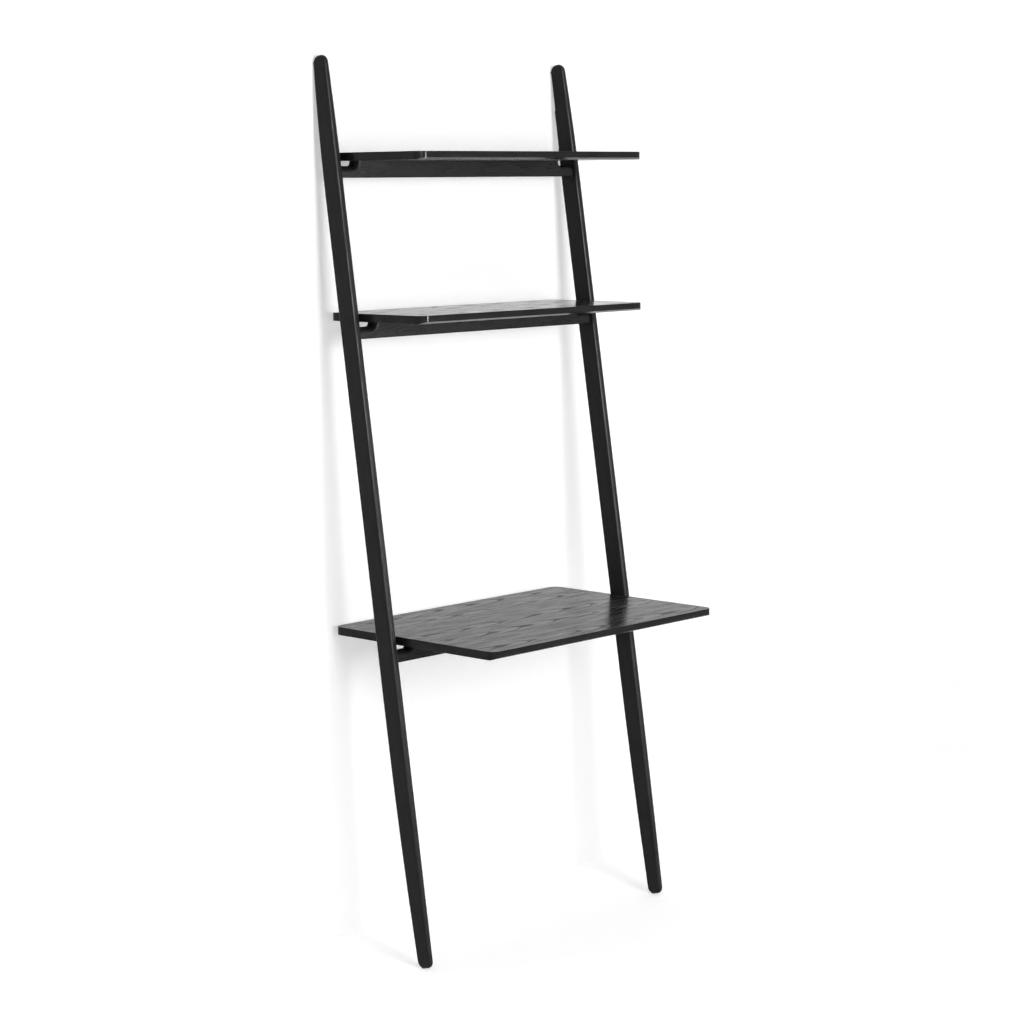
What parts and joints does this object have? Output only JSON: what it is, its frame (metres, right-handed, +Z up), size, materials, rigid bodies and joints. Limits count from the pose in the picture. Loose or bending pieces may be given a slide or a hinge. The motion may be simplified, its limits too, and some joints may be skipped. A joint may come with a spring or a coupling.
{
  "type": "ladder desk",
  "caption": "Leaning ladder desk in black-stained oak: a deep desk board with narrower shelves above it, on notched cross rails between slim tapered stiles, tied back to the wall.",
  "frame": {"origin": "on the floor, at the middle of the footprint", "axes": "+X to the user's right, -Y towards the user, +Y towards the wall, +Z up"},
  "size_m": [0.8, 0.514, 2.0001],
  "materials": {
    "black_oak": "black-stained solid oak, matt lacquer",
    "black_veneer": "black-stained oak veneer, satin lacquer",
    "black_steel": "black powder coat",
    "zinc_steel": "zinc-plated",
    "beech": "fluted dowel rod, untreated",
    "rubber": "matt black rubber"
  },
  "bodies": {
    "root": {"stile_left": "black_oak", "foot_pad_left": "rubber", "wall_pad_left": "rubber", "stile_right": "black_oak", "foot_pad_right": "rubber", "wall_pad_right": "rubber", "desk_board": "black_veneer", "desk_rail": "black_oak", "desk_rail_screws": "zinc_steel", "desk_bracket_screws": "zinc_steel", "desk_cams": "zinc_steel", "desk_cam_bolts": "zinc_steel", "desk_dowels": "beech", "desk_wall_bracket_left": "black_steel", "desk_wall_bracket_right": "black_steel", "middle_shelf": "black_veneer", "middle_rail": "black_oak", "middle_rail_screws": "zinc_steel", "middle_bracket_screws": "zinc_steel", "middle_cams": "zinc_steel", "middle_cam_bolts": "zinc_steel", "middle_dowels": "beech", "middle_wall_bracket_left": "black_steel", "middle_wall_bracket_right": "black_steel", "top_shelf": "black_veneer", "top_rail": "black_oak", "top_rail_screws": "zinc_steel", "top_bracket_screws": "zinc_steel", "top_cams": "zinc_steel", "top_cam_bolts": "zinc_steel", "top_dowels": "beech", "top_wall_bracket_left": "black_steel", "top_wall_bracket_right": "black_steel"}
  },
  "joints": []
}
